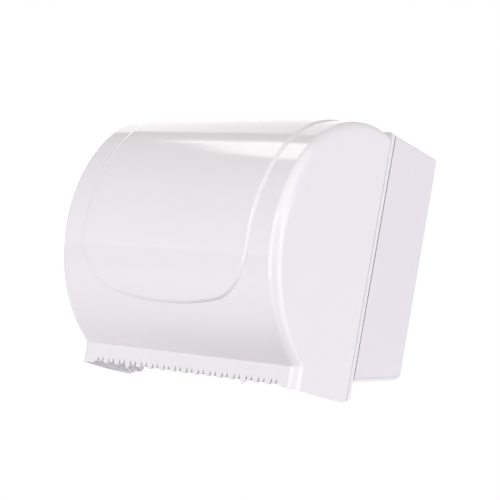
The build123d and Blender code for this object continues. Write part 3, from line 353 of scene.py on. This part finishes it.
pale.links.new(shown.socket, pale.nodes["Material Output"].inputs["Surface"])
floor_mesh.materials.append(pale.material)
print("floor laid at", FLOOR_HEIGHT, "m")

# %% [markdown]
# The sky is a white studio, written over a direction: side is how far the direction points along
# the roll, and turn is its angle about the roll, from 0 level in front to 90 straight up. As
# light it is brightest towards the camera and dimmer overhead and below.

# %% Sky as light
FRONT = (0.7, -0.714, 0.0)
LEVEL_LIGHT, FACING_LIGHT, OVERHEAD_LOSS = 0.79, 0.10, 0.58

world = bpy.data.worlds.new("studio")
scene.world = world
world.use_nodes = True
sky = Graph(world.node_tree, "Generated")
side, depth, height = (sky.node("ShaderNodeSeparateXYZ", {}, [sky.place], axis) for axis in "XYZ")
turn = height.math("ARCTAN2", height, 0 - depth) * math.degrees(1)
facing = sky.node("ShaderNodeVectorMath", {"operation": "DOT_PRODUCT"}, [sky.place, FRONT], "Value")
facing = facing.math("MAXIMUM", facing, 0)
given = LEVEL_LIGHT + facing * FACING_LIGHT - height * height * OVERHEAD_LOSS
print("light from the sky written with", len(sky.nodes), "nodes")

# %% [markdown]
# What the gloss mirrors is a room, given as stops of turn and level. Just below the horizon are
# two thin bright bands, above it a wall that dims upwards, and past 104 degrees a bright ceiling
# that the cover's top edge catches.

# %% Room in the gloss
ROOM = [
    (-9, 1.0), (-8, 1.9), (-7, 1.9), (-6, 1.0), (-3, 1.0), (-2.5, 1.7), (-1.5, 1.7), (-1, 1.0),
    (8, 0.95), (22, 0.6), (40, 0.55), (60, 0.5), (104, 0.5), (107, 1.4),
]


def profile(value, stops):
    """A level that goes smoothly from stop to stop, each a place and its level."""
    level = 0 * value + stops[0][1]
    for (start, low), (end, high) in zip(stops, stops[1:]):
        if low != high:
            level = level + value.ramp(start, end) * (high - low)
    return level


room = profile(turn, ROOM)
print("room written with", len(ROOM), "stops")

# %% [markdown]
# High on the left hangs a round lamp, cut flat at the top, with a thin rail that runs on from it.
# They make the white patch on the shoulder of the cover. The ceiling is brighter on the left too.
# To the right, where only the folds and the ends look, the room opens into a soft glow.

# %% Lamp, rail and glow
LAMP_SIDE, LAMP_HALF_WIDTH = -0.669, 0.036
LAMP_TOP, LAMP_DEPTH = 90, 20
LAMP_LEVEL, RAIL_SHARE = 2.9, 0.7
LAMP_EDGE = (0.85, 1.08)
RAIL_START, RAIL_FOOT = (-0.718, -0.706), (86, 87)
CEILING, CEILING_LEFT, CEILING_LEVEL = (104, 107), (-0.75, -0.66), 0.6
GLOW_START, GLOW_END, GLOW_LEVEL = (5, 25), (60, 85), 1.6
OPENING = (-0.55, -0.42)

below_top = 1 - turn.ramp(LAMP_TOP - 1, LAMP_TOP + 1)
across_lamp = (side - LAMP_SIDE) / LAMP_HALF_WIDTH
above_lamp = (turn - LAMP_TOP) / LAMP_DEPTH
from_lamp = across_lamp * across_lamp + above_lamp * above_lamp
round_lamp = (1 - from_lamp.ramp(*LAMP_EDGE)) * below_top
rail = turn.ramp(*RAIL_FOOT) * below_top * side.ramp(*RAIL_START)
room = room + round_lamp.math("MAXIMUM", round_lamp, rail * RAIL_SHARE) * LAMP_LEVEL
room = room + turn.ramp(*CEILING) * (1 - side.ramp(*CEILING_LEFT)) * CEILING_LEVEL
glow = turn.ramp(*GLOW_START) * (1 - turn.ramp(*GLOW_END)) * GLOW_LEVEL
mirrored = room + (1 + glow - room) * side.ramp(*OPENING)
print("lamp at side", LAMP_SIDE, "and turn", LAMP_TOP)

# %% [markdown]
# Now each kind of ray gets its sky: plain white for the camera, the room for the gloss, and the
# studio's light for all else. Light from above is a little warm, which the gloss hardly shows.

# %% Join the sky
WARM = colour(1.0, 0.94, 0.86)
MIRRORED_TONE = colour(1.0, 0.975, 0.99)
WARM_HEIGHTS = (0.0, 0.7)
COOLED_SHARE = 0.85

seen_by_camera = camera_rays(sky)
seen = looking_rays(sky)
strength = seen_by_camera + (seen - seen_by_camera) * mirrored + (1 - seen) * given
tone = sky.mix(height.ramp(*WARM_HEIGHTS), WHITE, WARM)
tone = sky.mix((seen - seen_by_camera) * COOLED_SHARE, tone, MIRRORED_TONE)
tone = sky.mix(seen_by_camera, tone, WHITE)
background = sky.nodes["Background"]
sky.feed(background.inputs["Color"], tone)
sky.feed(background.inputs["Strength"], strength)
print("sky made with", len(sky.nodes), "nodes")

# %% [markdown]
# Two large softboxes do the rest, one in front and one on the right. Each draws a bright line
# along the rounded fold of the cover, and the front one lights the curved front.

# %% Softboxes
CENTRE = Vector((0, -0.11, -0.02))


def softbox(name, azimuth, elevation, distance, width, height, radiance, tone):
    """A rectangular lamp at a direction from the dispenser, facing it; radiance 1 looks white."""
    lamp = bpy.data.lights.new(name, "AREA")
    lamp.shape = "RECTANGLE"
    lamp.size, lamp.size_y = width, height
    lamp.energy = radiance * math.pi * width * height
    lamp.color = tone
    azimuth, elevation = math.radians(azimuth), math.radians(elevation)
    level = math.cos(elevation)
    away = Vector((math.sin(azimuth) * level, -math.cos(azimuth) * level, math.sin(elevation)))
    holder = bpy.data.objects.new(name, lamp)
    scene.collection.objects.link(holder)
    holder.location = CENTRE + away * distance
    holder.rotation_euler = (-away).to_track_quat("-Z", "Y").to_euler()
    print(name, round(lamp.energy, 1), "W")


softbox("front softbox", -5, -2, 1.9, 1.3, 1.5, 2.3, (1.0, 0.98, 0.945))
softbox("side softbox", 92, -8, 1.7, 1.3, 1.5, 1.9, (1.0, 1.0, 1.0))

# %% [markdown]
# Last, the picture is shown through the plain Standard view transform.

# %% Finish
scene.view_settings.view_transform = "Standard"
